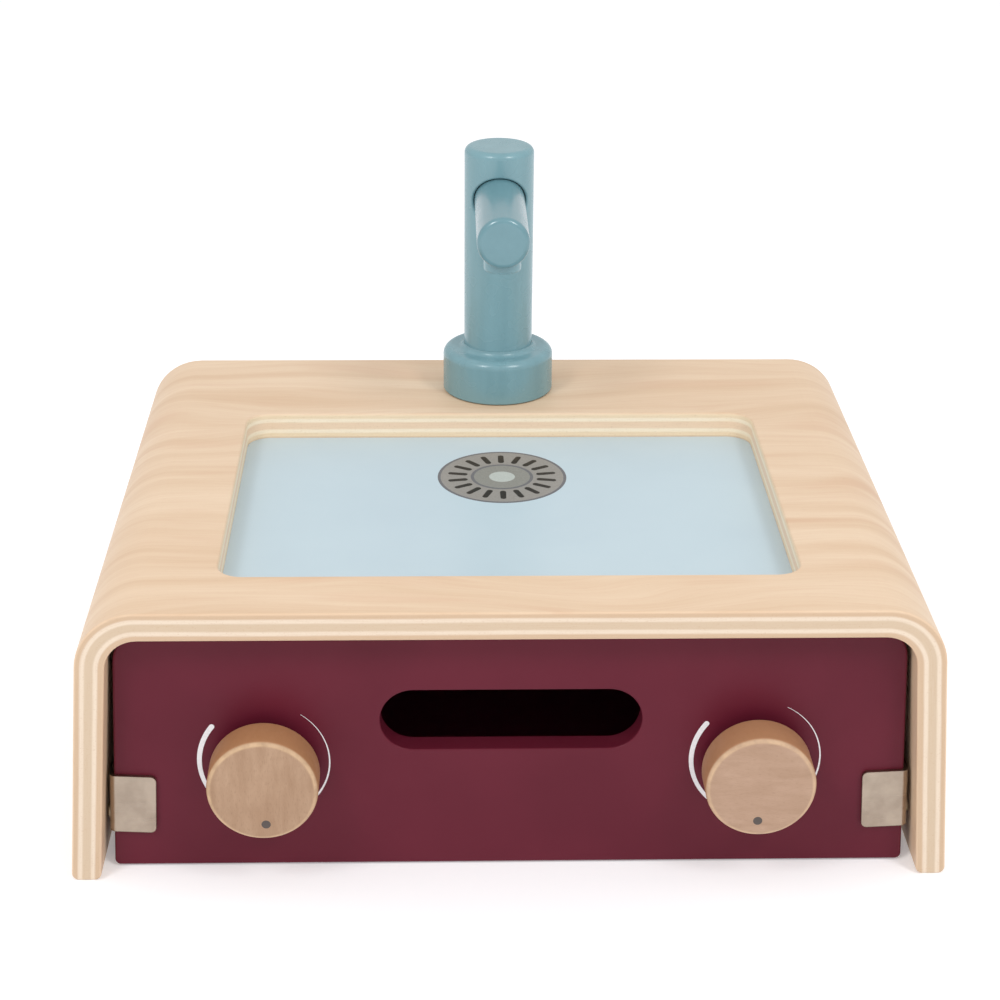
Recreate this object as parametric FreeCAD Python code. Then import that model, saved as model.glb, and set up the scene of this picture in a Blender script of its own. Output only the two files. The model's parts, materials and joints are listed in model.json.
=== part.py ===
"""Tabletop toy kitchen: a bent plywood bridge with a sunk basin board, a swivelling wooden tap and
a pull-out drawer whose front carries a hand slot and two turning knobs.

Millimetres. +Z is up, the front faces -Y and the origin is under the middle of the whole toy."""
import FreeCAD
import Part
import math
import os
from FreeCAD import Vector

# Bridge: one piece of moulded plywood, an upside-down U with legs that splay outwards.
bridge_width = 300.0          # over the feet
bridge_depth = 236.0
bridge_height = 101.5
ply = 10.0
bend_radius = 21.0            # outside of the bends
leg_splay = math.radians(4.3)
foot_round = 2.4
ply_edge_round = 0.9

# Basin: a rectangular opening in the bridge with a thin painted board screwed under it.
basin_width = 198.0
basin_depth = 146.0
basin_setback = 28.4          # from the bridge's front edge
basin_corner = 9.0
board = 6.0
board_width = 228.0
board_front_setback = 20.0
board_rear_lap = 12.5
board_corner = 5.0

# Drawer front and back panel.
panel = 9.0
panel_recess = 9.0            # both panels sit this far inside the bridge's edges
front_floor_width = 272.6     # width of the drawer front, carried down to the floor
front_side_slope = 0.048      # inward lean of its side edges
front_bottom = 0.5
front_top = 90.8
front_top_corner = 11.5
front_bottom_corner = 2.0
panel_edge_round = 0.7
slot_length = 88.4
slot_height = 22.6
slot_z = 56.7
back_gap = 0.5

# Drawer box.
side_board = 9.0
box_bottom = 3.0
box_top = 76.0
box_length = 180.0            # behind the drawer front
bottom_board = 4.0
bottom_board_z = 7.0
bottom_groove = 3.5
box_gap = 0.15                # clearance of a loose board in its groove
runner_z = 54.0
runner_height = 8.0
runner_face_x = 131.0
runner_play = 0.5
runner_front_setback = 36.0
runner_length = 168.0
batten = 12.0
batten_bottom = 6.0
batten_height = 71.0

# Knobs.
knob_x = 83.0
knob_z = 40.7
knob_radius = 18.6
knob_length = 15.0
knob_gap = 4.2                # a knob stands off the drawer front on its spindle
knob_front_round = 2.0
knob_back_round = 2.0
spindle_stand_out = 0.3       # of the spindle, behind the drawer front
spindle_radius = 4.0
spindle_depth = 10.0          # into the knob
running_clearance = 0.06
washer_radius = 8.0
washer = 1.5

# Corner brackets.
bracket_sheet = 1.5
bracket_height = 21.8
bracket_bottom = 14.9
bracket_front_leg = 14.4
bracket_side_leg = 30.0
bracket_corner = 2.0
bracket_bend = 2.1            # outside of its fold
bracket_screw_rows = (4.8, 12.0)   # heights of its two screws above its lower edge

# Tap.
tap_setback = 204.6           # from the bridge's front edge
collar_radius = 22.0
collar_height = 17.5
collar_round = 3.2
cove = 2.0                    # hollow fillet between collar and column
cove_lip = 0.3
socket_depth = 9.0
column_radius = 13.6
tap_top = 201.9
column_round = 2.6
spout_hole_gap = 0.25         # between the spout and its hole in the column
spout_hole_round = 0.7
spout_radius = 9.8
spout_z = 182.2
spout_reach = 51.2            # beyond the front of the column
spout_round = 2.0
spout_root = 17.0             # length let into the column
nozzle_radius = 7.0
nozzle_drop = 3.7
nozzle_back = 12.0            # from the spout's end face to the nozzle's axis
nozzle_round = 0.8
nozzle_root = 6.0
bolt_radius = 3.0
bolt_grip = 22.0              # length screwed into the column
tap_play = 0.3

# Screws and dowels.
screw_radius = 1.75
screw_head_radius = 3.5
pan_head_height = 1.0
pan_head_radius = 2.5
dowel_radius = 3.0
dowel_length = 22.0
drill_clearance = 0.05

knob_overhang = knob_gap + knob_length - panel_recess
front_y = knob_overhang - (bridge_depth + knob_overhang) / 2
back_y = front_y + bridge_depth
panel_y = front_y + panel_recess
box_y = panel_y + panel
box_end_y = box_y + box_length
tap_y = front_y + tap_setback
collar_base = bridge_height + tap_play
column_foot = collar_base + collar_height - socket_depth
back_panel_y = back_y - panel_recess - panel
ply_underside = bridge_height - ply
board_underside = ply_underside - board
side_lean = math.atan(front_side_slope)


def leg_face_x(z, inset):
    """Half width at height z of the bridge's leg surface, inset from the outside by some thickness."""
    return bridge_width / 2 - z * math.tan(leg_splay) - inset / math.cos(leg_splay)


def front_edge_x(z):
    """Half width of the drawer front at height z."""
    return front_floor_width / 2 - z * front_side_slope


def arc_or_line(corners):
    """Closed wire through corners given as (point, radius): straight runs joined by tangent arcs."""
    starts, ends, middles = [], [], []
    count = len(corners)
    for i, (corner, radius) in enumerate(corners):
        to_last = (corners[i - 1][0] - corner).normalize()
        to_next = (corners[(i + 1) % count][0] - corner).normalize()
        half_angle = to_last.getAngle(to_next) / 2
        reach = radius / math.tan(half_angle)
        bisector = (to_last + to_next).normalize()
        starts.append(corner + to_last * reach)
        ends.append(corner + to_next * reach)
        middles.append(corner + bisector * (radius / math.sin(half_angle) - radius))
    edges = []
    for i in range(count):
        if corners[i][1] > 0:
            edges.append(Part.Arc(starts[i], middles[i], ends[i]).toShape())
        following = starts[(i + 1) % count]
        if (following - ends[i]).Length > 1e-6:
            edges.append(Part.LineSegment(ends[i], following).toShape())
    return Part.Wire(Part.__sortEdges__(edges))


def prism_y(corners, y, length):
    """Solid with an XZ outline, from y backwards. Corners are (x, z, radius)."""
    wire = arc_or_line([(Vector(x, y, z), radius) for x, z, radius in corners])
    return Part.Face(wire).extrude(Vector(0, length, 0))


def prism_z(corners, z, height):
    """Solid with an XY outline, from z upwards. Corners are (x, y, radius)."""
    wire = arc_or_line([(Vector(x, y, z), radius) for x, y, radius in corners])
    return Part.Face(wire).extrude(Vector(0, 0, height))


def rectangle(x_half, low, high, radius):
    return [(-x_half, low, radius), (x_half, low, radius), (x_half, high, radius), (-x_half, high, radius)]


def round_edges(solid, radius, chosen):
    """Round every edge for which chosen(edge's box) is true."""
    edges = [edge for edge in solid.Edges if chosen(edge.BoundBox)]
    return solid.makeFillet(radius, edges)


def lies_on_y(y):
    return lambda box: abs(box.YMin - y) < 1e-4 and abs(box.YMax - y) < 1e-4


def lies_on_z(z):
    return lambda box: abs(box.ZMin - z) < 1e-4 and abs(box.ZMax - z) < 1e-4


def turned(outline, base, direction):
    """Solid turned about an axis: outline is (radius, height, rounding) from the axis out and back."""
    points = [(Vector(radius, 0, height), rounding) for radius, height, rounding in outline]
    solid = Part.Face(arc_or_line(points)).revolve(Vector(0, 0, 0), Vector(0, 0, 1), 360)
    solid.Placement = FreeCAD.Placement(base, FreeCAD.Rotation(Vector(0, 0, 1), direction))
    return solid


def rod(radius, length, base, direction):
    return Part.makeCylinder(radius, length, base, direction)


def dowel(length, base, direction):
    chamfer = 0.8
    outline = [(0, 0, 0), (dowel_radius - chamfer, 0, 0), (dowel_radius, chamfer, 0),
               (dowel_radius, length - chamfer, 0), (dowel_radius - chamfer, length, 0), (0, length, 0)]
    return turned(outline, base, direction)


def countersunk_screw(length, base, direction, extra=0.0):
    """Wood screw with its flat head at base, driven along direction. extra widens it into its hole."""
    tip = 2.5
    slot_half, slot_depth = 0.4, 0.6
    shank = screw_radius + extra
    head = screw_head_radius + extra
    outline = [(0, 0, 0), (head, 0, 0), (shank, head - shank, 0), (shank, length - tip, 0),
               (0, length + extra, 0)]
    solid = turned(outline, base, direction)
    if extra:
        return solid
    slot = Part.makeBox(2 * head, 2 * slot_half, 2 * slot_depth, Vector(-head, -slot_half, -slot_depth))
    slot.Placement = FreeCAD.Placement(base, FreeCAD.Rotation(Vector(0, 0, 1), direction))
    return solid.cut(slot)


def pan_screw(length, head_radius, head_height, base, direction, extra=0.0):
    """Screw with a domed head that starts at base and stands back from it."""
    tip = 2.5
    slot_half, slot_depth = 0.35, 0.5
    shank = screw_radius + extra
    shank_outline = [(shank, 0, 0), (shank, length - tip, 0), (0, length + extra, 0)]
    if extra:
        return turned([(0, 0, 0)] + shank_outline, base, direction)
    head_outline = [(0, -head_height, 0), (head_radius, -head_height, head_height * 0.6), (head_radius, 0, 0)]
    solid = turned(head_outline + shank_outline, base, direction)
    slot = Part.makeBox(2 * head_radius, 2 * slot_half, 2 * slot_depth,
                        Vector(-head_radius, -slot_half, -head_height - slot_depth))
    slot.Placement = FreeCAD.Placement(base, FreeCAD.Rotation(Vector(0, 0, 1), direction))
    return solid.cut(slot)


def mirrored(shape):
    return shape.mirror(Vector(0, 0, 0), Vector(1, 0, 0))


# Bridge and what is fixed to it.

def board_screws(extra=0.0):
    """Screws driven up through the rim of the basin board into the plywood."""
    length = 12.0
    front_row = front_y + board_front_setback + 4.5
    rear_row = front_y + basin_setback + basin_depth + board_rear_lap / 2
    side_column = (basin_width + board_width) / 4
    middle = (front_row + rear_row) / 2
    places = [(x, y) for y in (front_row, rear_row) for x in (-side_column, 0, side_column)]
    places += [(-side_column, middle), (side_column, middle)]
    up = Vector(0, 0, 1)
    return [countersunk_screw(length, Vector(x, y, board_underside), up, extra) for x, y in places]


def runner_screws(extra=0.0):
    """Two screws through each drawer runner into the leg behind it."""
    length = 12.0
    margin = 25.0
    screws = []
    runner_y = front_y + runner_front_setback
    for y in (runner_y + margin, runner_y + runner_length - margin):
        screw = countersunk_screw(length, Vector(runner_face_x, y, runner_z), Vector(1, 0, 0), extra)
        screws += [screw, mirrored(screw)]
    return screws


def back_screws(extra=0.0):
    """Screws through the back panel into the upright battens."""
    length = 17.0
    screws = []
    for z in (batten_bottom + batten_height * 0.2, batten_bottom + batten_height * 0.8):
        x = leg_face_x(z, ply) - batten / 2
        screw = countersunk_screw(length, Vector(x, back_panel_y + panel, z), Vector(0, -1, 0), extra)
        screws += [screw, mirrored(screw)]
    return screws


def tap_bolt_hole():
    start = Vector(0, tap_y, ply_underside - ply)
    return rod(bolt_radius + running_clearance, 3 * ply, start, Vector(0, 0, 1))


def worktop_shell():
    corner_x = leg_face_x(bridge_height, 0)
    inner_corner_x = leg_face_x(ply_underside, ply)
    outline = [(bridge_width / 2, 0, foot_round), (corner_x, bridge_height, bend_radius),
               (-corner_x, bridge_height, bend_radius), (-bridge_width / 2, 0, foot_round),
               (-leg_face_x(0, ply), 0, foot_round), (-inner_corner_x, ply_underside, bend_radius - ply),
               (inner_corner_x, ply_underside, bend_radius - ply), (leg_face_x(0, ply), 0, foot_round)]
    shell = prism_y(outline, front_y, bridge_depth)
    for y in (front_y, back_y):
        shell = round_edges(shell, ply_edge_round, lies_on_y(y))
    basin_front = front_y + basin_setback
    opening = prism_z(rectangle(basin_width / 2, basin_front, basin_front + basin_depth, basin_corner),
                      ply_underside - ply, 3 * ply)
    shell = shell.cut(opening)
    in_basin = lies_on_z(bridge_height)
    shell = round_edges(shell, ply_edge_round,
                        lambda box: in_basin(box) and box.YMin > basin_front - 1 and box.YMax < tap_y - 20
                        and abs(box.XMin) < basin_width / 2 + 1)
    shell = shell.cut(tap_bolt_hole())
    for hole in board_screws(drill_clearance) + runner_screws(drill_clearance):
        shell = shell.cut(hole)
    return shell


def sink_board():
    low = front_y + board_front_setback
    high = front_y + basin_setback + basin_depth + board_rear_lap
    solid = prism_z(rectangle(board_width / 2, low, high, board_corner), board_underside, board)
    for hole in board_screws(drill_clearance):
        solid = solid.cut(hole)
    return solid


def back_panel():
    floor_x = leg_face_x(front_bottom, ply) - back_gap
    top_z = ply_underside - back_gap
    top_x = leg_face_x(top_z, ply) - back_gap
    corner = bend_radius - ply
    outline = [(floor_x, front_bottom, front_bottom_corner), (top_x, top_z, corner),
               (-top_x, top_z, corner), (-floor_x, front_bottom, front_bottom_corner)]
    solid = prism_y(outline, back_panel_y, panel)
    for y in (back_panel_y, back_panel_y + panel):
        solid = round_edges(solid, panel_edge_round, lies_on_y(y))
    for hole in back_screws(drill_clearance):
        solid = solid.cut(hole)
    return solid


def back_batten():
    low, high = batten_bottom, batten_bottom + batten_height
    outline = [(leg_face_x(low, ply), low, 0), (leg_face_x(high, ply), high, 0),
               (leg_face_x(high, ply) - batten, high, 0), (leg_face_x(low, ply) - batten, low, 0)]
    solid = prism_y(outline, back_panel_y - batten, batten)
    for hole in back_screws(drill_clearance):
        solid = solid.cut(hole)
    return solid


def drawer_runner():
    low, high = runner_z - runner_height / 2, runner_z + runner_height / 2
    outline = [(leg_face_x(low, ply), low, 0), (leg_face_x(high, ply), high, 0),
               (runner_face_x, high, 1.0), (runner_face_x, low, 1.0)]
    solid = prism_y(outline, front_y + runner_front_setback, runner_length)
    for hole in runner_screws(drill_clearance):
        solid = solid.cut(hole)
    return solid


# Tap: collar, column and spout are glued together and turn on the bolt.

def tap_collar():
    bore = column_radius + drill_clearance
    bolt_bore = bolt_radius + drill_clearance
    floor = column_foot - collar_base
    lip = bore + cove_lip
    lip_top = collar_height + cove
    outline = [(bolt_bore, 0, 0), (collar_radius, 0, 0.5), (collar_radius, collar_height, collar_round),
               (lip, collar_height, cove - 0.05), (lip, lip_top, 0), (bore, lip_top, 0), (bore, floor, 0),
               (bolt_bore, floor, 0)]
    return turned(outline, Vector(0, tap_y, collar_base), Vector(0, 0, 1))


def spout_back_y():
    return tap_y - column_radius + spout_root


def tap_column():
    height = tap_top - column_foot
    outline = [(0, 0, 0), (column_radius, 0, 0.5), (column_radius, height, column_round), (0, height, 0)]
    column = turned(outline, Vector(0, tap_y, column_foot), Vector(0, 0, 1))
    hole_radius = spout_radius + spout_hole_gap
    reach = spout_root + column_radius
    socket = rod(spout_radius + drill_clearance, reach, Vector(0, spout_back_y(), spout_z), Vector(0, -1, 0))
    mouth = rod(hole_radius, reach, Vector(0, tap_y - hole_radius / 3, spout_z), Vector(0, -1, 0))
    column = column.cut(mouth)
    column = round_edges(column, spout_hole_round, lambda box: box.YMax < tap_y - column_radius / 3
                         and abs(box.ZMin + hole_radius - spout_z) < 1 and abs(box.XMax) < hole_radius + 1)
    bolt_hole = rod(bolt_radius + drill_clearance, bolt_grip + 1, Vector(0, tap_y, column_foot),
                    Vector(0, 0, 1))
    return column.cut(socket).cut(bolt_hole)


def spout_end_y():
    return tap_y - column_radius - spout_reach


def nozzle_rod(extra=0.0):
    top = spout_z - spout_radius + nozzle_root
    length = nozzle_root + nozzle_drop
    radius = nozzle_radius + extra
    outline = [(0, 0, 0), (radius, 0, 0), (radius, length, nozzle_round), (0, length, 0)]
    return turned(outline, Vector(0, spout_end_y() + nozzle_back, top), Vector(0, 0, -1))


def tap_spout():
    length = spout_back_y() - drill_clearance - spout_end_y()
    outline = [(0, 0, 0), (spout_radius, 0, 0.5), (spout_radius, length, spout_round), (0, length, 0)]
    spout = turned(outline, Vector(0, spout_back_y() - drill_clearance, spout_z), Vector(0, -1, 0))
    return spout.cut(nozzle_rod(drill_clearance))


def tap_nozzle():
    mouth_radius, mouth_depth = 4.0, 3.0
    below = spout_z - spout_radius - nozzle_drop - 1
    mouth = rod(mouth_radius, mouth_depth + 1, Vector(0, spout_end_y() + nozzle_back, below), Vector(0, 0, 1))
    return nozzle_rod().cut(mouth)


def tap_washer():
    ring = rod(washer_radius, washer, Vector(0, tap_y, ply_underside - tap_play - washer), Vector(0, 0, 1))
    hole = rod(bolt_radius + drill_clearance, 3 * washer, Vector(0, tap_y, ply_underside - 3 * washer),
               Vector(0, 0, 1))
    return ring.cut(hole)


def tap_nut_top():
    return ply_underside - tap_play - washer


def tap_lock_nut():
    across_corners, height = 5.8, 5.0
    top = tap_nut_top()
    hexagon = [(across_corners * math.cos(math.radians(60 * i)),
                tap_y + across_corners * math.sin(math.radians(60 * i)), 0.3) for i in range(6)]
    nut = prism_z(hexagon, top - height, height)
    return nut.cut(rod(bolt_radius + drill_clearance, 3 * height, Vector(0, tap_y, top - 2 * height),
                       Vector(0, 0, 1)))


def tap_bolt():
    below_nut = 7.0
    base = tap_nut_top() - below_nut
    length = column_foot + bolt_grip - base
    outline = [(0, 0, 0), (bolt_radius, 0, 0.5), (bolt_radius, length, 0.5), (0, length, 0)]
    return turned(outline, Vector(0, tap_y, base), Vector(0, 0, 1))


# Drawer.

def bracket_screw_pair(extra=0.0):
    """The right bracket's screws: one into the drawer front's edge, one into the side behind it."""
    length = 8.0
    outward = Vector(math.cos(side_lean), 0, math.sin(side_lean))
    screws = []
    for y, row in zip((panel_y + panel / 2, box_y + 12.0), bracket_screw_rows):
        z = bracket_bottom + row
        face = Vector(front_edge_x(z), y, z) + outward * bracket_sheet
        screws.append(pan_screw(length, pan_head_radius, pan_head_height, face, outward * -1, extra))
    return screws


def front_dowels():
    """Dowels that join the right side board to the drawer front."""
    let_in = 7.0
    shapes = []
    for z in (42.0, 67.0):
        base = Vector(front_edge_x(z) - side_board * 0.62, box_y - let_in, z)
        shapes.append((base, Vector(0, 1, 0), dowel_length))
    return shapes


def rear_dowels():
    """Dowels that join the right side board to the drawer's back board."""
    let_in = 6.0
    shapes = []
    for z in (22.0, 67.0):
        base = Vector(front_edge_x(z) - side_board + let_in, box_end_y - side_board / 2, z)
        shapes.append((base, Vector(-1, 0, 0), dowel_length))
    return shapes


def dowel_holes():
    holes = []
    for base, direction, length in front_dowels() + rear_dowels():
        start = base - direction * drill_clearance
        hole = rod(dowel_radius + drill_clearance, length + 2 * drill_clearance, start, direction)
        holes += [hole, mirrored(hole)]
    return holes


def drawer_dowels():
    solids = []
    for base, direction, length in front_dowels() + rear_dowels():
        one = dowel(length, base, direction)
        solids += [one, mirrored(one)]
    return solids


def drawer_front():
    low_x, high_x = front_edge_x(front_bottom), front_edge_x(front_top)
    outline = [(low_x, front_bottom, front_bottom_corner), (high_x, front_top, front_top_corner),
               (-high_x, front_top, front_top_corner), (-low_x, front_bottom, front_bottom_corner)]
    solid = prism_y(outline, panel_y, panel)
    slot = prism_y(rectangle(slot_length / 2, slot_z - slot_height / 2, slot_z + slot_height / 2,
                             slot_height / 2 - 0.01), panel_y - panel, 3 * panel)
    solid = solid.cut(slot)
    for y in (panel_y, panel_y + panel):
        solid = round_edges(solid, panel_edge_round, lies_on_y(y))
    for x in (-knob_x, knob_x):
        solid = solid.cut(rod(spindle_radius + running_clearance, 3 * panel,
                              Vector(x, panel_y - panel, knob_z), Vector(0, 1, 0)))
    holes = dowel_holes()
    for hole in bracket_screw_pair(drill_clearance):
        holes += [hole, mirrored(hole)]
    for hole in holes:
        solid = solid.cut(hole)
    groove = Part.makeBox(2 * drawer_bottom_half(), bottom_groove, bottom_board + 2 * box_gap,
                          Vector(-drawer_bottom_half(), box_y - bottom_groove, bottom_board_z - box_gap))
    return solid.cut(groove)


def drawer_bottom_half():
    """Half width of the grooves that the drawer's bottom board slides into."""
    return front_edge_x(bottom_board_z) - side_board + bottom_groove


def drawer_side():
    outline = [(front_edge_x(box_bottom), box_bottom, 0.8), (front_edge_x(box_top), box_top, 2.0),
               (front_edge_x(box_top) - side_board, box_top, 2.0),
               (front_edge_x(box_bottom) - side_board, box_bottom, 0.8)]
    solid = prism_y(outline, box_y, box_length)
    runner_way = Part.makeBox(3 * side_board, 2 * box_length, runner_height + 2 * runner_play,
                              Vector(runner_face_x - runner_play, box_y + runner_play,
                                     runner_z - runner_height / 2 - runner_play))
    bottom_way = Part.makeBox(2 * bottom_groove, 2 * box_length, bottom_board + 2 * box_gap,
                              Vector(drawer_bottom_half() - 2 * bottom_groove, box_y - box_length / 2,
                                     bottom_board_z - box_gap))
    solid = solid.cut(runner_way).cut(bottom_way)
    for hole in dowel_holes() + bracket_screw_pair(drill_clearance):
        solid = solid.cut(hole)
    return solid


def drawer_back():
    low_x = front_edge_x(box_bottom) - side_board - box_gap
    high_x = front_edge_x(box_top) - side_board - box_gap
    outline = [(low_x, box_bottom, 0), (high_x, box_top, 0), (-high_x, box_top, 0), (-low_x, box_bottom, 0)]
    solid = prism_y(outline, box_end_y - side_board, side_board)
    groove_y = box_end_y - side_board - bottom_groove
    groove = Part.makeBox(3 * low_x, 2 * bottom_groove, bottom_board + 2 * box_gap,
                          Vector(-1.5 * low_x, groove_y, bottom_board_z - box_gap))
    solid = solid.cut(groove)
    for hole in dowel_holes():
        solid = solid.cut(hole)
    return solid


def drawer_bottom():
    half = drawer_bottom_half() - box_gap
    low = box_y - bottom_groove + box_gap
    high = box_end_y - side_board + bottom_groove - box_gap
    return prism_z(rectangle(half, low, high, 0.5), bottom_board_z, bottom_board)


def corner_bracket():
    """Right bracket: a bent steel plate with one leg over the drawer front, leaning with its edge."""
    sheet = bracket_sheet
    end_x = -bracket_front_leg
    section = [(sheet, -sheet, bracket_bend), (sheet, bracket_side_leg, 0), (0, bracket_side_leg, 0),
               (0, 0, bracket_bend - sheet), (end_x, 0, 0), (end_x, -sheet, 0)]
    plate = prism_z(section, 0, bracket_height)
    plate = round_edges(plate, bracket_corner, lambda box: box.ZLength < 1e-4 and box.XMax < end_x + 1e-4
                        and box.XLength < 1e-4)
    plate = round_edges(plate, bracket_corner, lambda box: box.ZLength < 1e-4 and box.YLength < 1e-4
                        and box.YMin > bracket_side_leg - 1e-4)
    base = Vector(front_edge_x(bracket_bottom), panel_y, bracket_bottom)
    plate.Placement = FreeCAD.Placement(base, FreeCAD.Rotation(Vector(0, 1, 0), -math.degrees(side_lean)))
    for hole in bracket_screw_pair(drill_clearance):
        plate = plate.cut(hole)
    return plate


# Knobs.

def knob(x):
    blind = spindle_depth + drill_clearance
    bore = spindle_radius + drill_clearance
    outline = [(0, blind, 0), (bore, blind, 0), (bore, 0, 0), (knob_radius, 0, knob_back_round),
               (knob_radius, knob_length, knob_front_round), (0, knob_length, 0)]
    return turned(outline, Vector(x, panel_y - knob_gap, knob_z), Vector(0, -1, 0))


def knob_spindle(x):
    length = spindle_depth + knob_gap + panel + spindle_stand_out
    base = Vector(x, panel_y - knob_gap - spindle_depth, knob_z)
    solid = rod(spindle_radius, length, base, Vector(0, 1, 0))
    return solid.cut(knob_screw_hole(x))


def spindle_end_y():
    return panel_y + panel + spindle_stand_out


def knob_screw_hole(x):
    length = 10.0
    return rod(screw_radius + drill_clearance, length + 3 * washer,
               Vector(x, spindle_end_y() + 3 * washer, knob_z), Vector(0, -1, 0))


def knob_washer(x):
    ring = rod(washer_radius, washer, Vector(x, spindle_end_y(), knob_z), Vector(0, 1, 0))
    return ring.cut(knob_screw_hole(x))


def knob_screw(x):
    length, head_radius, head_height = 11.0, 3.8, 2.4
    return pan_screw(length, head_radius, head_height, Vector(x, spindle_end_y() + washer, knob_z),
                     Vector(0, -1, 0))


# Nodes.

def all_nodes():
    bracket_screws = bracket_screw_pair()
    nodes = {
        "worktop_shell": worktop_shell(),
        "sink_board": sink_board(),
        "sink_board_screws": Part.makeCompound(board_screws()),
        "back_panel": back_panel(),
        "right_back_batten": back_batten(),
        "left_back_batten": mirrored(back_batten()),
        "back_panel_screws": Part.makeCompound(back_screws()),
        "right_runner": drawer_runner(),
        "left_runner": mirrored(drawer_runner()),
        "runner_screws": Part.makeCompound(runner_screws()),
        "tap_collar": tap_collar(),
        "tap_column": tap_column(),
        "tap_spout": tap_spout(),
        "tap_nozzle": tap_nozzle(),
        "tap_bolt": tap_bolt(),
        "tap_washer": tap_washer(),
        "tap_lock_nut": tap_lock_nut(),
        "drawer_front": drawer_front(),
        "drawer_right_side": drawer_side(),
        "drawer_left_side": mirrored(drawer_side()),
        "drawer_back": drawer_back(),
        "drawer_bottom": drawer_bottom(),
        "drawer_dowels": Part.makeCompound(drawer_dowels()),
        "right_corner_bracket": corner_bracket(),
        "left_corner_bracket": mirrored(corner_bracket()),
        "right_bracket_screws": Part.makeCompound(bracket_screws),
        "left_bracket_screws": Part.makeCompound([mirrored(screw) for screw in bracket_screws]),
    }
    for side, x in (("left", -knob_x), ("right", knob_x)):
        nodes[side + "_knob"] = knob(x)
        nodes[side + "_knob_spindle"] = knob_spindle(x)
        nodes[side + "_knob_washer"] = knob_washer(x)
        nodes[side + "_knob_screw"] = knob_screw(x)
    return nodes


os.makedirs("parts", exist_ok=True)
for name, shape in all_nodes().items():
    shape.exportStep("parts/" + name + ".step")
    print(f"{name:24s} solids {len(shape.Solids)} valid {shape.isValid()} volume {shape.Volume:10.1f}")
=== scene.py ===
# Tabletop toy kitchen: the finishes, the printed marks and the studio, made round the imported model.
# Metres, +Z up, the drawer front faces -Y. Patterns in the materials are laid out in millimetres.
import bmesh
import bpy
import json
import math
from mathutils import Matrix, Vector

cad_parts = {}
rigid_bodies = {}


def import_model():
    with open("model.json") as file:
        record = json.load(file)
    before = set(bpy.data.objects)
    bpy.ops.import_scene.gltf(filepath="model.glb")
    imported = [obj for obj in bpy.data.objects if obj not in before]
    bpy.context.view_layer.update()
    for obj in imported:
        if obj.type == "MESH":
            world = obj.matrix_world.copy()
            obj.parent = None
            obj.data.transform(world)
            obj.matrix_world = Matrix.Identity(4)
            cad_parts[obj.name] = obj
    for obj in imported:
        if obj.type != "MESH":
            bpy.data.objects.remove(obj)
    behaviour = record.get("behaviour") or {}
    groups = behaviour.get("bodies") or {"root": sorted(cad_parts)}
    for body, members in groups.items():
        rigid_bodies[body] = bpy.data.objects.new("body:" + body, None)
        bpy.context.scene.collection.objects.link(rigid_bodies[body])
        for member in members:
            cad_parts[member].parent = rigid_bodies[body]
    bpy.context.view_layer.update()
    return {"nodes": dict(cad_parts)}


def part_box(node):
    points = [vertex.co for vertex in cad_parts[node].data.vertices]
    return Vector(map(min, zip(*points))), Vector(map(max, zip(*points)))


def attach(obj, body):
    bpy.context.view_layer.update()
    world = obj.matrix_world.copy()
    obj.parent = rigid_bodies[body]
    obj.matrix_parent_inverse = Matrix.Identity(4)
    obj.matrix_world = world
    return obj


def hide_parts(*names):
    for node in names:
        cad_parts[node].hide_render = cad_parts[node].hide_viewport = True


for startUpThing in list(bpy.data.objects):
    bpy.data.objects.remove(startUpThing)

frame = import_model()
mm = 0.001


# Small helpers for the material nodes.

def colour(red, green, blue):
    # 0 to 255 as a screen shows it, turned into the linear value that a shader takes
    linear = []
    for part in (red, green, blue):
        share = part / 255
        linear.append(share / 12.92 if share <= 0.04045 else ((share + 0.055) / 1.055) ** 2.4)
    return (*linear, 1.0)


def plug(tree, value, socket):
    if isinstance(value, bpy.types.NodeSocket):
        tree.links.new(value, socket)
    else:
        socket.default_value = value


def addNode(tree, kind, inputs=None, **settings):
    node = tree.nodes.new("ShaderNode" + kind)
    for setting, value in settings.items():
        setattr(node, setting, value)
    for key, value in (inputs or {}).items():
        plug(tree, value, node.inputs[key])
    return node


def newMaterial(name):
    material = bpy.data.materials.new(name)
    material.use_nodes = True
    tree = material.node_tree
    tree.nodes.clear()
    shader = addNode(tree, "BsdfPrincipled")
    addNode(tree, "OutputMaterial", {"Surface": shader.outputs[0]})
    return material, tree, shader


def calc(tree, operation, *values):
    node = addNode(tree, "Math", operation=operation)
    for socket, value in zip(node.inputs, values):
        plug(tree, value, socket)
    return node.outputs[0]


def objectPoint(tree):
    # x, y and z on the piece itself, in millimetres
    place = addNode(tree, "TexCoord").outputs["Object"]
    scaled = addNode(tree, "VectorMath", {0: place, "Scale": 1 / mm}, operation="SCALE")
    apart = addNode(tree, "SeparateXYZ", {0: scaled.outputs[0]})
    return apart.outputs[0], apart.outputs[1], apart.outputs[2]


def joined(tree, x, y, z):
    return addNode(tree, "CombineXYZ", {0: x, 1: y, 2: z}).outputs[0]


def stretched(tree, point, lengths):
    # a pattern space where one unit is lengths[i] millimetres along each axis
    return joined(tree, *[calc(tree, "DIVIDE", value, length) for value, length in zip(point, lengths)])


def noise(tree, vector, detail=2.0, rough=0.5, twist=0.0):
    inputs = {"Vector": vector, "Scale": 1.0, "Detail": detail, "Roughness": rough, "Distortion": twist}
    return addNode(tree, "TexNoise", inputs).outputs[0]


def between(tree, value, low, high, outLow=0.0, outHigh=1.0):
    inputs = {"Value": value, "From Min": low, "From Max": high, "To Min": outLow, "To Max": outHigh}
    return addNode(tree, "MapRange", inputs).outputs[0]


def blend(tree, share, first, second, how="MIX"):
    inputs = {0: share, 6: first, 7: second}
    return addNode(tree, "Mix", inputs, data_type="RGBA", blend_type=how).outputs[2]


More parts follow.
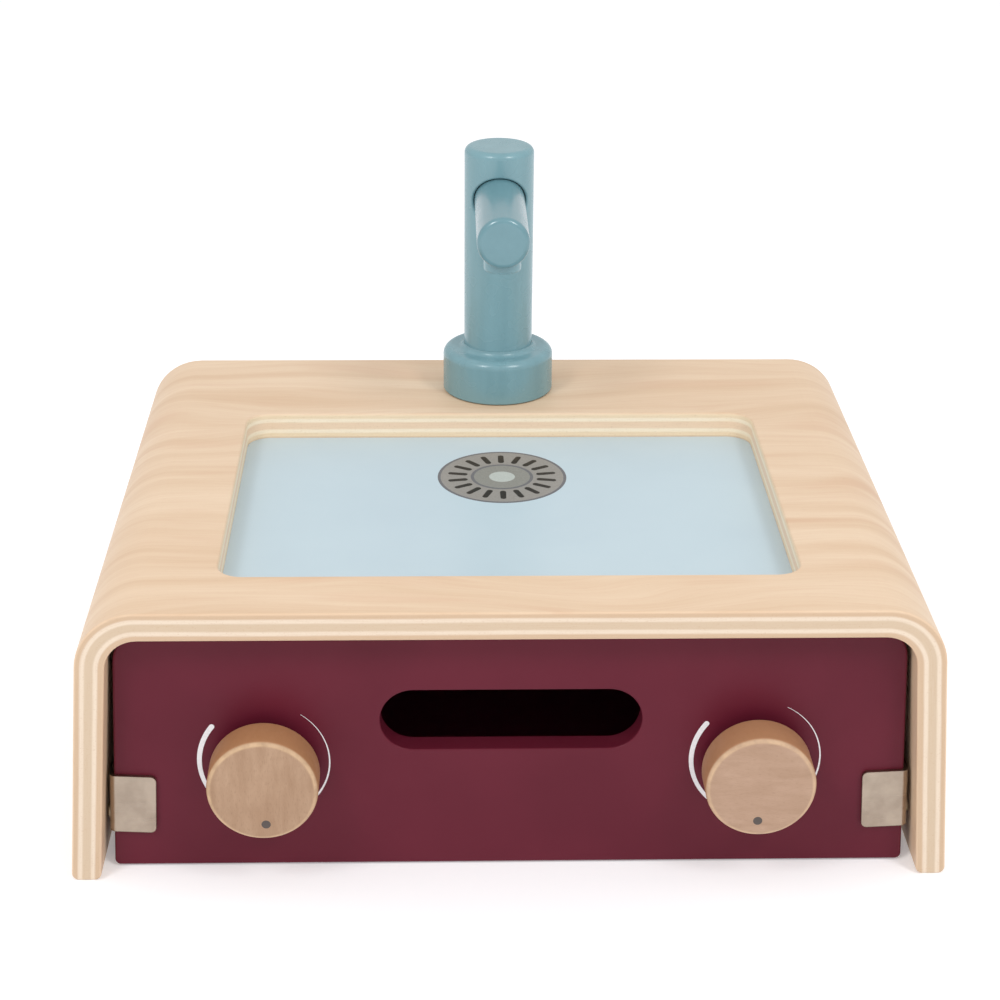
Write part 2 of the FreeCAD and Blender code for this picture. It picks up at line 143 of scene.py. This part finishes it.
def ramp(tree, value, stops):
    node = addNode(tree, "ValToRGB", {0: value})
    elements = node.color_ramp.elements
    while len(elements) < len(stops):
        elements.new(0.5)
    for element, (position, tone) in zip(elements, stops):
        element.position = position
        element.color = tone
    return node.outputs[0]


def bump(tree, height, depth, strength=1.0):
    inputs = {"Height": height, "Distance": depth * mm, "Strength": strength}
    return addNode(tree, "Bump", inputs).outputs[0]


def edgeMask(tree, radius):
    # 0 on flats, rising to 1 where the surface turns over an edge
    rounded = addNode(tree, "Bevel", {"Radius": radius * mm}, samples=4).outputs[0]
    plain = addNode(tree, "NewGeometry").outputs["Normal"]
    match = addNode(tree, "VectorMath", {0: rounded, 1: plain}, operation="DOT_PRODUCT").outputs["Value"]
    return between(tree, match, 0.985, 0.86)


# Bent plywood.

plywoodLook = {
    "thickness": 10.0,
    "bendRadius": 21.0,
    "height": 101.5,
    "halfFootWidth": 150.0,
    "splay": math.radians(4.3),
    "plies": ((0.0, 2.0, "tan"), (2.0, 3.5, "pale"), (3.5, 6.4, "core"),
              (6.4, 7.9, "pale"), (7.9, 10.0, "tan")),       # start, end and kind, in from the outer skin
    "glueBlur": 0.32,
    "outerEdge": {"tan": colour(203, 175, 146), "pale": colour(226, 208, 187),
                  "core": colour(206, 184, 158)},
    "recessEdge": {"tan": colour(245, 221, 188), "pale": colour(255, 238, 212),
                   "core": colour(243, 214, 184)},
    "recessMiddle": -11.5,
    "recessHalf": (101.0, 75.0),
    "faceLight": colour(233, 207, 178),
    "faceDark": colour(221, 190, 158),
    "facePink": colour(214, 172, 140),
    "pore": colour(186, 150, 116),
    "swaySize": (60, 35, 9),
    "sway": 0.12,
    "poreSize": (0.55, 0.55, 0.35),
    "poreAmount": 0.45,
    "streakSize": (9, 9, 0.22),
    "streakAmount": 0.22,
    "driftSize": (140, 55, 40),
    "drift": 15,
    "figureSize": (190, 11, 30),
    "fineSize": (26, 0.9, 20),
    "fineAmount": 0.3,
    "blushSize": (95, 16, 50),
    "blushAmount": 0.42,
    "fleckSize": (3.2, 0.32, 20),
    "fleckAmount": 0.28,
    "skin": (0.2, 0.75),         # the face veneer gives way to the cut edge between these depths
    "relief": 0.05,
    "roughness": (0.42, 0.56),
}


def plyDepth(tree, x, z):
    # distance in from the outer skin, following the top, the bends and the splayed legs
    look = plywoodLook
    bend = look["bendRadius"]
    centreZ = look["height"] - bend
    centreX = look["halfFootWidth"] - (bend + centreZ * math.sin(look["splay"])) / math.cos(look["splay"])
    outward = calc(tree, "SUBTRACT", calc(tree, "ABSOLUTE", x), centreX)
    upward = calc(tree, "SUBTRACT", z, centreZ)
    angle = calc(tree, "ARCTAN2", upward, outward)
    angle = calc(tree, "MINIMUM", calc(tree, "MAXIMUM", angle, look["splay"]), math.pi / 2)
    sideways = calc(tree, "MULTIPLY", outward, calc(tree, "COSINE", angle))
    lifted = calc(tree, "MULTIPLY", upward, calc(tree, "SINE", angle))
    return calc(tree, "SUBTRACT", bend, calc(tree, "ADD", sideways, lifted))


def plyLayers(tree, depth, tones):
    look = plywoodLook
    stops = []
    for start, end, name in look["plies"]:
        low = (start + look["glueBlur"]) / look["thickness"]
        high = (end - look["glueBlur"]) / look["thickness"]
        stops += [(low, tones[name]), (high, tones[name])]
    return ramp(tree, calc(tree, "DIVIDE", depth, look["thickness"]), stops)


def bentPlywood():
    look = plywoodLook
    material, tree, shader = newMaterial("bent_plywood")
    x, y, z = objectPoint(tree)
    drop = calc(tree, "SUBTRACT", look["height"], z)
    along = calc(tree, "ADD", x, calc(tree, "MULTIPLY", calc(tree, "SIGN", x), drop))
    depth = plyDepth(tree, x, z)

    # the plies on every cut edge, a little uneven; the routed recess is paler than the sanded outside
    sway = noise(tree, stretched(tree, (along, y, depth), look["swaySize"]), detail=1)
    layer = calc(tree, "ADD", depth, between(tree, sway, 0.3, 0.7, -look["sway"], look["sway"]))
    halfWidth, halfDepth = look["recessHalf"]
    fromMiddle = calc(tree, "ABSOLUTE", calc(tree, "SUBTRACT", y, look["recessMiddle"]))
    withinWidth = calc(tree, "LESS_THAN", calc(tree, "ABSOLUTE", x), halfWidth)
    inRecess = calc(tree, "MULTIPLY", withinWidth, calc(tree, "LESS_THAN", fromMiddle, halfDepth))
    outerLayers = plyLayers(tree, layer, look["outerEdge"])
    layered = blend(tree, inRecess, outerLayers, plyLayers(tree, layer, look["recessEdge"]))
    pores = noise(tree, stretched(tree, (along, y, z), look["poreSize"]), detail=1)
    streaks = noise(tree, stretched(tree, (along, y, depth), look["streakSize"]), detail=2)
    layered = blend(tree, between(tree, pores, 0.62, 0.8, 0, look["poreAmount"]), layered, look["pore"])
    layered = blend(tree, between(tree, streaks, 0.5, 0.8, 0, look["streakAmount"]), layered, look["pore"])

    # the veneer's figure runs from side to side and over the bends
    drift = noise(tree, stretched(tree, (along, y, depth), look["driftSize"]), detail=1)
    wandering = calc(tree, "ADD", y, between(tree, drift, 0.2, 0.8, -look["drift"], look["drift"]))
    grain = (along, wandering, depth)
    broad = noise(tree, stretched(tree, grain, look["figureSize"]), detail=3, rough=0.55)
    fine = noise(tree, stretched(tree, grain, look["fineSize"]), detail=3, rough=0.6)
    blush = noise(tree, stretched(tree, grain, look["blushSize"]), detail=2)
    flecks = noise(tree, stretched(tree, (along, y, depth), look["fleckSize"]), detail=1)
    veneer = blend(tree, between(tree, broad, 0.35, 0.68), look["faceLight"], look["faceDark"])
    veneer = blend(tree, between(tree, blush, 0.56, 0.74, 0, look["blushAmount"]), veneer, look["facePink"])
    veneer = blend(tree, between(tree, fine, 0.45, 0.8, 0, look["fineAmount"]), veneer, look["facePink"])
    veneer = blend(tree, between(tree, flecks, 0.66, 0.8, 0, look["fleckAmount"]), veneer, look["pore"])
    skinStart, skinEnd = look["skin"]
    onOuter = between(tree, depth, skinStart, skinEnd, 1, 0)
    onInner = between(tree, depth, look["thickness"] - skinEnd, look["thickness"] - skinStart)
    onFace = calc(tree, "MAXIMUM", onOuter, onInner)
    plug(tree, blend(tree, onFace, layered, veneer), shader.inputs["Base Color"])

    sheenSpread = calc(tree, "ADD", calc(tree, "MULTIPLY", fine, 0.7), calc(tree, "MULTIPLY", broad, 0.3))
    plug(tree, between(tree, sheenSpread, 0.3, 0.7, *look["roughness"]), shader.inputs["Roughness"])
    relief = calc(tree, "ADD", calc(tree, "MULTIPLY", fine, 0.6), calc(tree, "MULTIPLY", pores, 0.4))
    plug(tree, bump(tree, relief, look["relief"], 0.5), shader.inputs["Normal"])
    shader.inputs["Specular IOR Level"].default_value = 0.4
    return material


# Sprayed paint on board and on turned wood.

paintLooks = {
    # each rub colour is the paler paint on turned-over edges: partly worn paint and partly a painted
    # highlight
    "burgundy_paint": {"tone": colour(97, 27, 44), "deep": colour(91, 23, 40), "edgeWearAndShading": colour(112, 46, 60),
                       "grain": (38, 38, 38), "peel": 3.2, "rough": (0.36, 0.44), "gloss": 0.2},
    "basin_paint": {"tone": colour(193, 211, 219), "deep": colour(188, 206, 215),
                    "edgeWearAndShading": colour(205, 220, 226), "grain": (55, 55, 55), "peel": 6.0,
                    "rough": (0.3, 0.38), "gloss": 0.4},
    "tap_paint_upright": {"tone": colour(121, 160, 169), "deep": colour(114, 153, 162),
                          "edgeWearAndShading": colour(144, 177, 185), "grain": (6, 6, 60), "peel": 7.0,
                          "rough": (0.22, 0.3), "gloss": 0.65},
    # the spout's tone is darker than the upright's: the same tap paint, with painted shade on it
    "tap_paint_spout_painted_shade": {"tone": colour(102, 144, 154), "deep": colour(97, 139, 149),
                        "edgeWearAndShading": colour(134, 170, 179), "grain": (6, 60, 6), "peel": 7.0,
                        "rough": (0.18, 0.25), "gloss": 0.9},
}
paintEdgeWearAndHighlightRadius = 0.8
paintRelief = 0.02


def paint(name):
    look = paintLooks[name]
    material, tree, shader = newMaterial(name)
    point = objectPoint(tree)
    cloud = noise(tree, stretched(tree, point, look["grain"]), detail=2, rough=0.5)
    peel = noise(tree, stretched(tree, point, [look["peel"]] * 3), detail=1)
    tone = blend(tree, between(tree, cloud, 0.32, 0.7), look["tone"], look["deep"])
    # paler edges: partly worn paint and partly a painted highlight
    paintEdgeWearAndHighlight = calc(tree, "MULTIPLY", edgeMask(tree, paintEdgeWearAndHighlightRadius), between(tree, cloud, 0.3, 0.6, 0.2, 0.6))
    plug(tree, blend(tree, paintEdgeWearAndHighlight, tone, look["edgeWearAndShading"]), shader.inputs["Base Color"])
    low, high = look["rough"]
    plug(tree, between(tree, peel, 0.25, 0.75, low, high), shader.inputs["Roughness"])
    relief = calc(tree, "ADD", calc(tree, "MULTIPLY", peel, 0.6), calc(tree, "MULTIPLY", cloud, 0.3))
    plug(tree, bump(tree, relief, paintRelief, 0.4), shader.inputs["Normal"])
    shader.inputs["Specular IOR Level"].default_value = look["gloss"]
    return material


# Bare and lacquered solid wood.

woodLooks = {
    # the rim colour is a painted highlight on the rounded rims; the flank colour is partly the side grain's
    # own tone and partly painted shade
    "beech_left": {"light": colour(177, 145, 118), "dark": colour(160, 127, 100),
                   "fleck": colour(137, 105, 80), "rim": colour(214, 180, 142),
                   "flankGrainAndShade": colour(176, 123, 81), "figure": (3.4, 6, 15), "flecks": (0.34, 3.0, 1.6),
                   "fleckAmount": 0.35},
    "beech_right": {"light": colour(181, 149, 126), "dark": colour(167, 135, 111),
                    "fleck": colour(147, 115, 92), "rim": colour(214, 180, 144),
                    "flankGrainAndShade": colour(177, 125, 85), "figure": (16, 6, 3.6), "flecks": (1.8, 3.0, 0.34),
                    "fleckAmount": 0.28},
    "plain_wood": {"light": colour(216, 190, 154), "dark": colour(196, 166, 128),
                   "fleck": colour(172, 136, 98), "rim": colour(224, 200, 166),
                   "flankGrainAndShade": colour(206, 178, 140), "figure": (3, 45, 3), "flecks": (0.4, 4, 0.4),
                   "fleckAmount": 0.4},
}
mottleSize = (4.5, 4.5, 4.5)
woodRelief = 0.06


def solidWood(name):
    look = woodLooks[name]
    material, tree, shader = newMaterial(name)
    point = objectPoint(tree)
    figure = noise(tree, stretched(tree, point, look["figure"]), detail=4, rough=0.6, twist=0.4)
    flecks = noise(tree, stretched(tree, point, look["flecks"]), detail=1)
    mottle = noise(tree, stretched(tree, point, mottleSize), detail=3, rough=0.6)
    tone = blend(tree, between(tree, figure, 0.3, 0.72), look["light"], look["dark"])
    tone = blend(tree, between(tree, mottle, 0.45, 0.75, 0, 0.35), tone, look["dark"])
    amount = between(tree, flecks, 0.56, 0.72, 0, look["fleckAmount"])
    tone = blend(tree, amount, tone, look["fleck"])

    # faces that look to the front or back stay as they are; the flanks are warmer and darker, partly the
    # wood's own side grain and partly painted shade; the rims between are paler, a painted highlight
    facing = addNode(tree, "SeparateXYZ", {0: addNode(tree, "TexCoord").outputs["Normal"]}).outputs[1]
    facing = calc(tree, "ABSOLUTE", facing)
    # the flank colour: partly the wood's own tone across the grain and partly painted shade
    tone = blend(tree, between(tree, facing, 0.25, 0.6, 0.75, 0), tone, look["flankGrainAndShade"])
    # a painted highlight on the rounded rims
    rim = calc(tree, "MINIMUM", between(tree, facing, 0.3, 0.6), between(tree, facing, 0.9, 0.99, 1, 0))
    rim = calc(tree, "MULTIPLY", rim, between(tree, mottle, 0.3, 0.6, 0.25, 0.75))
    plug(tree, blend(tree, rim, tone, look["rim"]), shader.inputs["Base Color"])
    plug(tree, between(tree, figure, 0.3, 0.7, 0.46, 0.6), shader.inputs["Roughness"])
    relief = calc(tree, "ADD", calc(tree, "MULTIPLY", figure, 0.5), calc(tree, "MULTIPLY", flecks, -0.6))
    plug(tree, bump(tree, relief, woodRelief, 0.6), shader.inputs["Normal"])
    shader.inputs["Specular IOR Level"].default_value = 0.4
    return material


# Plated steel.

metalLooks = {
    # the edge colour is a painted shade that darkens the turned-over edges of the plated parts
    "satin_nickel": {"light": colour(180, 165, 149), "dark": colour(165, 150, 135),
                     "edge": colour(84, 70, 58), "edgeShadeAmount": 0.7, "brushing": (22, 22, 0.5),
                     "rough": (0.26, 0.38)},
    "zinc_plate": {"light": colour(200, 192, 172), "dark": colour(166, 156, 134),
                   "edge": colour(120, 108, 88), "edgeShadeAmount": 0.4, "brushing": (1.6, 1.6, 1.6),
                   "rough": (0.28, 0.46)},
}
metalEdgeShadeRadius = 0.5
metalCloudSize = (6, 6, 6)
brushingDepth = 0.01


def platedSteel(name):
    look = metalLooks[name]
    material, tree, shader = newMaterial(name)
    point = objectPoint(tree)
    brushing = noise(tree, stretched(tree, point, look["brushing"]), detail=3, rough=0.6)
    cloud = noise(tree, stretched(tree, point, metalCloudSize), detail=3)
    tone = blend(tree, between(tree, cloud, 0.35, 0.7), look["light"], look["dark"])
    # painted shade along the edges
    edgeWearAndShading = calc(tree, "MULTIPLY", edgeMask(tree, metalEdgeShadeRadius), look["edgeShadeAmount"])
    plug(tree, blend(tree, edgeWearAndShading, tone, look["edge"]), shader.inputs["Base Color"])
    plug(tree, between(tree, brushing, 0.3, 0.7, *look["rough"]), shader.inputs["Roughness"])
    plug(tree, bump(tree, brushing, brushingDepth, 0.5), shader.inputs["Normal"])
    shader.inputs["Metallic"].default_value = 1.0
    return material


inkLook = {
    "coatSize": (0.7, 0.7, 0.7),
    "thinTone": 0.86,
    "relief": 0.01,
    "gloss": 0.25,
}


def printInk(name, tone):
    # screen-printed ink: a slightly uneven coat
    material, tree, shader = newMaterial(name)
    point = objectPoint(tree)
    coat = noise(tree, stretched(tree, point, inkLook["coatSize"]), detail=3)
    thin = tuple(part * inkLook["thinTone"] for part in tone[:3]) + (1.0,)
    plug(tree, blend(tree, between(tree, coat, 0.4, 0.75, 0, 0.6), tone, thin), shader.inputs["Base Color"])
    plug(tree, between(tree, coat, 0.3, 0.7, 0.32, 0.5), shader.inputs["Roughness"])
    plug(tree, bump(tree, coat, inkLook["relief"], 0.4), shader.inputs["Normal"])
    shader.inputs["Specular IOR Level"].default_value = inkLook["gloss"]
    return material


# Making pieces from a bmesh.

sharpAngle = math.radians(35)
closeEnough = 0.01 * mm


def madePiece(name, shape, *materials):
    bmesh.ops.recalc_face_normals(shape, faces=shape.faces)
    mesh = bpy.data.meshes.new(name)
    shape.to_mesh(mesh)
    shape.free()
    for material in materials:
        mesh.materials.append(material)
    mesh.shade_smooth()
    mesh.set_sharp_from_angle(angle=sharpAngle)
    piece = bpy.data.objects.new(name, mesh)
    bpy.context.scene.collection.objects.link(piece)
    return piece


def thicken(shape, faces, direction):
    # gives flat faces a thickness, and keeps the faces they came from as the underside
    grown = bmesh.ops.extrude_face_region(shape, geom=faces, use_keep_orig=True)
    moved = [part for part in grown["geom"] if isinstance(part, bmesh.types.BMVert)]
    bmesh.ops.translate(shape, verts=moved, vec=direction)


def faceForward(shape, centre):
    # turns a flat XY drawing to face -Y, with its upper side up, and puts its middle at centre
    turn = Matrix.Translation(centre) @ Matrix.Rotation(math.pi / 2, 4, "X")
    bmesh.ops.transform(shape, matrix=turn, verts=shape.verts)


# The turned beech knobs, each with its blind bore for the spindle.

knobShape = {
    "segments": 96,
    "frontRound": 2.0,
    "backRound": 2.0,
    "roundSteps": 6,
    "boreRadius": 4.05,
    "boreDepth": 10.05,
    "printRoom": 0.03,          # the face sits back by this much, to leave room for its printed dot
}


def knobMiddle(side):
    # the middle of the knob's front face
    low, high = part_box(side + "_knob")
    return Vector(((low.x + high.x) / 2, low.y + knobShape["printRoom"] * mm, (low.z + high.z) / 2))


def rimEdges(shape, height):
    return [edge for edge in shape.edges if all(abs(vert.co.z - height) < closeEnough for vert in edge.verts)]


def turnedKnob(side):
    low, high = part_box(side + "_knob")
    radius = (high.x - low.x) / 2
    front = knobMiddle(side)
    length = high.y - front.y
    shape = bmesh.new()
    bmesh.ops.create_cone(shape, cap_ends=True, segments=knobShape["segments"], radius1=radius,
                          radius2=radius, depth=length)
    for height, rounding in ((length / 2, knobShape["frontRound"]), (-length / 2, knobShape["backRound"])):
        bmesh.ops.bevel(shape, geom=rimEdges(shape, height), offset=rounding * mm, offset_type="OFFSET",
                        segments=knobShape["roundSteps"], profile=0.5, affect="EDGES", material=-1)
    back = min(shape.faces, key=lambda face: face.calc_center_median().z)
    wall = radius - (knobShape["backRound"] + knobShape["boreRadius"]) * mm
    bmesh.ops.inset_individual(shape, faces=[back], thickness=wall, use_even_offset=True)
    bore = bmesh.ops.extrude_face_region(shape, geom=[back])
    moved = [part for part in bore["geom"] if isinstance(part, bmesh.types.BMVert)]
    bmesh.ops.translate(shape, verts=moved, vec=(0, 0, knobShape["boreDepth"] * mm))
    faceForward(shape, front + Vector((0, length / 2, 0)))
    piece = madePiece(side + "_beech_knob", shape, solidWood("beech_" + side))
    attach(piece, side + "_knob")
    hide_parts(side + "_knob")


# The printed drain on the basin board.

drain = {
    "fromBoardBack": 52.2,
    # each band's outer radius and its ink, from the centre out
    "bands": ((4.9, "drain_centre"), (10.7, "drain_inner"), (11.9, "drain_outline"), (23.4, "drain_ring"),
              (24.5, "drain_outline")),
    "slots": 18,
    "slotReach": (13.3, 20.8),
    "slotWidth": 2.3,
    "inkThickness": 0.04,
    "slotThickness": 0.02,
    "segments": 96,
    "slotSegments": 16,
    "inks": {"drain_outline": colour(110, 109, 112), "drain_ring": colour(150, 146, 140),
             "drain_slot": colour(40, 33, 25), "drain_inner": colour(142, 141, 134),
             "drain_centre": colour(188, 194, 188)},
}


def printedDrain():
    low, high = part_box("sink_board")
    centre = Vector((0, high.y - drain["fromBoardBack"] * mm, high.z))
    inkNames = list(drain["inks"])
    shape = bmesh.new()
    radius, ink = drain["bands"][0]
    bmesh.ops.create_circle(shape, cap_ends=True, segments=drain["segments"], radius=radius * mm)
    for face in shape.faces:
        face.material_index = inkNames.index(ink)
    for wider, ink in drain["bands"][1:]:
        before = set(shape.faces)
        rim = [edge for edge in shape.edges if edge.is_boundary]
        grown = bmesh.ops.extrude_edge_only(shape, edges=rim)
        moved = [part for part in grown["geom"] if isinstance(part, bmesh.types.BMVert)]
        bmesh.ops.scale(shape, vec=(wider / radius, wider / radius, 1), verts=moved)
        for face in shape.faces:
            if face not in before:
                face.material_index = inkNames.index(ink)
        radius = wider
    thicken(shape, list(shape.faces), (0, 0, drain["inkThickness"] * mm))

    start, end = drain["slotReach"]
    slotRadius = drain["slotWidth"] / 2
    for turn in range(drain["slots"]):
        before = set(shape.verts)
        place = Matrix.Translation(((start + slotRadius) * mm, 0, drain["inkThickness"] * mm))
        made = bmesh.ops.create_circle(shape, cap_ends=True, segments=drain["slotSegments"],
                                       radius=slotRadius * mm, matrix=place)
        outer = [vert for vert in made["verts"] if vert.co.x > (start + slotRadius) * mm]
        bmesh.ops.translate(shape, verts=outer, vec=((end - start - 2 * slotRadius) * mm, 0, 0))
        face = made["verts"][0].link_faces[0]
        face.material_index = inkNames.index("drain_slot")
        thicken(shape, [face], (0, 0, drain["slotThickness"] * mm))
        fresh = [vert for vert in shape.verts if vert not in before]
        angle = math.pi / 2 + 2 * math.pi * turn / drain["slots"]
        bmesh.ops.rotate(shape, verts=fresh, matrix=Matrix.Rotation(angle, 3, "Z"))
    bmesh.ops.translate(shape, verts=shape.verts, vec=centre)
    inks = [printInk(name, tone) for name, tone in drain["inks"].items()]
    piece = madePiece("drain_print", shape, *inks)
    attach(piece, "cabinet")


# The level arcs printed round the knobs, and the dot on each knob.

knobMarks = {
    "arcRadius": 22.0,
    "arcOutward": 0.4,          # the arcs are centred a little outside and above the knobs
    "arcRise": 0.5,
    "arcStart": math.radians(139.5),
    "arcSweep": {"left": math.radians(275.5), "right": math.radians(284)},
    "arcSteps": 110,
    "endSteps": 8,
    "thick": 1.85,
    "hairline": 0.12,
    "seedHalfWidth": 0.1,       # the drawn line's half width before it is given its taper
    "inkThickness": 0.04,
    "arcInk": colour(238, 236, 238),
    "dotRadius": 1.55,
    "dotFromAxis": 12.5,
    "dotTurn": {"left": math.radians(4.4), "right": math.radians(-3)},
    "dotThickness": 0.02,
    "dotSegments": 32,
    "dotInk": colour(88, 80, 76),
}


def arcHalfWidth(swept, sweep):
    # half the line's width after it has swept some angle: a round start, then an even taper
    full = knobMarks["thick"] / 2
    travelled = swept * knobMarks["arcRadius"]
    if travelled < full:
        return max(math.sqrt(full ** 2 - (full - travelled) ** 2), 0.001)
    share = swept / sweep
    return full + (knobMarks["hairline"] / 2 - full) * share


def printedArc(side, ink):
    centre = knobMiddle(side)
    centre.x += math.copysign(knobMarks["arcOutward"] * mm, centre.x)
    centre.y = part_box("drawer_front")[0].y
    centre.z += knobMarks["arcRise"] * mm
    sweep = knobMarks["arcSweep"][side]
    radius = knobMarks["arcRadius"] * mm
    shape = bmesh.new()
    spread = knobMarks["seedHalfWidth"] * mm
    ends = [shape.verts.new((radius + way * spread, 0, 0)) for way in (-1, 1)]
    edge = shape.edges.new(ends)
    endSweep = knobMarks["thick"] / 2 / knobMarks["arcRadius"]
    upright = {"cent": (0, 0, 0), "axis": (0, 0, 1), "use_merge": False}
    first = bmesh.ops.spin(shape, geom=ends + [edge], angle=endSweep, steps=knobMarks["endSteps"], **upright)
    bmesh.ops.spin(shape, geom=first["geom_last"], angle=sweep - endSweep, steps=knobMarks["arcSteps"],
                   **upright)
    for vert in shape.verts:
        swept = math.atan2(vert.co.y, vert.co.x) % (2 * math.pi)
        if swept > sweep + 0.1:        # the first points can come out just short of a whole turn
            swept = 0.0
        way = 1 if vert.co.length > radius else -1
        vert.co = vert.co.normalized() * (radius + way * arcHalfWidth(swept, sweep) * mm)
    bmesh.ops.remove_doubles(shape, verts=shape.verts, dist=closeEnough)
    bmesh.ops.rotate(shape, verts=shape.verts, matrix=Matrix.Rotation(knobMarks["arcStart"], 3, "Z"))
    thicken(shape, list(shape.faces), (0, 0, knobMarks["inkThickness"] * mm))
    faceForward(shape, centre)
    piece = madePiece(side + "_level_arc", shape, ink)
    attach(piece, "drawer")


def printedDot(side, ink):
    turn = knobMarks["dotTurn"][side]
    centre = knobMiddle(side) + Vector((math.sin(turn), 0, -math.cos(turn))) * knobMarks["dotFromAxis"] * mm
    shape = bmesh.new()
    bmesh.ops.create_circle(shape, cap_ends=True, segments=knobMarks["dotSegments"],
                            radius=knobMarks["dotRadius"] * mm)
    thicken(shape, list(shape.faces), (0, 0, knobMarks["dotThickness"] * mm))
    faceForward(shape, centre)
    piece = madePiece(side + "_knob_dot", shape, ink)
    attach(piece, side + "_knob")


def allKnobMarks():
    arcInk = printInk("arc_ink", knobMarks["arcInk"])
    dotInk = printInk("dot_ink", knobMarks["dotInk"])
    for side in ("left", "right"):
        printedArc(side, arcInk)
        printedDot(side, dotInk)


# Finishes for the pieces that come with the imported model.

finishes = {
    "bent_plywood": ["worktop_shell"],
    "burgundy_paint": ["drawer_front", "drawer_left_side", "drawer_right_side", "drawer_back",
                       "drawer_bottom", "back_panel"],
    "basin_paint": ["sink_board"],
    "tap_paint_upright": ["tap_collar", "tap_column", "tap_nozzle"],
    "tap_paint_spout_painted_shade": ["tap_spout"],
    "plain_wood": ["left_back_batten", "right_back_batten", "left_runner", "right_runner", "drawer_dowels",
                   "left_knob_spindle", "right_knob_spindle"],
    "satin_nickel": ["left_corner_bracket", "right_corner_bracket"],
    "zinc_plate": ["sink_board_screws", "back_panel_screws", "runner_screws", "tap_bolt", "tap_washer",
                   "tap_lock_nut", "left_bracket_screws", "right_bracket_screws", "left_knob_washer",
                   "right_knob_washer", "left_knob_screw", "right_knob_screw"],
}


def makeFinish(name):
    if name in paintLooks:
        return paint(name)
    if name in woodLooks:
        return solidWood(name)
    if name in metalLooks:
        return platedSteel(name)
    return bentPlywood()


def applyFinishes():
    for name, nodeNames in finishes.items():
        material = makeFinish(name)
        for nodeName in nodeNames:
            for slot in frame["nodes"][nodeName].material_slots:
                slot.material = material


# Floor, light and camera.

studio = {
    "floorSize": 40.0,
    "floorTone": colour(244, 244, 246),
    "floorGlow": 0.27,
    "floorUnder": 0.1,          # millimetres below the feet
    "floorCloud": (900, 900, 900),
    "floorDim": 0.98,
    "worldTone": (1.0, 1.0, 1.0, 1.0),
    "worldStrength": 0.79,
    "softboxes": (
        {"name": "front_left_softbox", "place": (-0.9, -1.1, 1.5), "size": (0.4, 0.6), "watts": 9},
        {"name": "front_right_softbox", "place": (0.9, -1.1, 1.5), "size": (0.4, 0.6), "watts": 9},
    ),
    "aim": (0.0, 0.0, 0.08),
}

cameraSetup = {
    "place": (-0.02408, -0.77356, 0.43570),
    "turn": (66.0229, -0.4291, -1.4933),
    "lens": 81.895,
    "sensor": 36.0,
}


def studioFloor():
    material, tree, shader = newMaterial("studio_floor")
    point = objectPoint(tree)
    cloud = noise(tree, stretched(tree, point, studio["floorCloud"]), detail=2)
    dim = tuple(part * studio["floorDim"] for part in studio["floorTone"][:3]) + (1.0,)
    plug(tree, blend(tree, cloud, studio["floorTone"], dim), shader.inputs["Base Color"])
    shader.inputs["Roughness"].default_value = 0.9
    shader.inputs["Emission Color"].default_value = studio["floorTone"]
    shader.inputs["Emission Strength"].default_value = studio["floorGlow"]
    shape = bmesh.new()
    bmesh.ops.create_grid(shape, x_segments=4, y_segments=4, size=studio["floorSize"] / 2)
    bmesh.ops.translate(shape, verts=shape.verts, vec=(0, 0, -studio["floorUnder"] * mm))
    madePiece("studio_floor", shape, material)


def softbox(settings):
    lamp = bpy.data.lights.new(settings["name"], "AREA")
    lamp.shape = "RECTANGLE"
    lamp.size, lamp.size_y = settings["size"]
    lamp.energy = settings["watts"]
    thing = bpy.data.objects.new(settings["name"], lamp)
    bpy.context.scene.collection.objects.link(thing)
    thing.location = settings["place"]
    aim = Vector(studio["aim"]) - thing.location
    thing.rotation_euler = aim.to_track_quat("-Z", "Y").to_euler()


def studioLight():
    world = bpy.data.worlds.new("white_tent")
    world.use_nodes = True
    background = world.node_tree.nodes["Background"]
    background.inputs["Color"].default_value = studio["worldTone"]
    background.inputs["Strength"].default_value = studio["worldStrength"]
    bpy.context.scene.world = world
    for settings in studio["softboxes"]:
        softbox(settings)
    bpy.context.scene.view_settings.view_transform = "Standard"


def studioCamera():
    camera = bpy.data.cameras.new("studio_camera")
    camera.sensor_width = cameraSetup["sensor"]
    camera.lens = cameraSetup["lens"]
    camera.clip_start = 0.01
    thing = bpy.data.objects.new("studio_camera", camera)
    bpy.context.scene.collection.objects.link(thing)
    thing.location = cameraSetup["place"]
    thing.rotation_euler = [math.radians(angle) for angle in cameraSetup["turn"]]
    bpy.context.scene.camera = thing


studioCamera()
print("camera is set")
applyFinishes()
print("finishes are on")
turnedKnob("left")
turnedKnob("right")
print("knobs are turned")
printedDrain()
allKnobMarks()
print("printed marks are on")
studioFloor()
studioLight()
print("studio is lit")
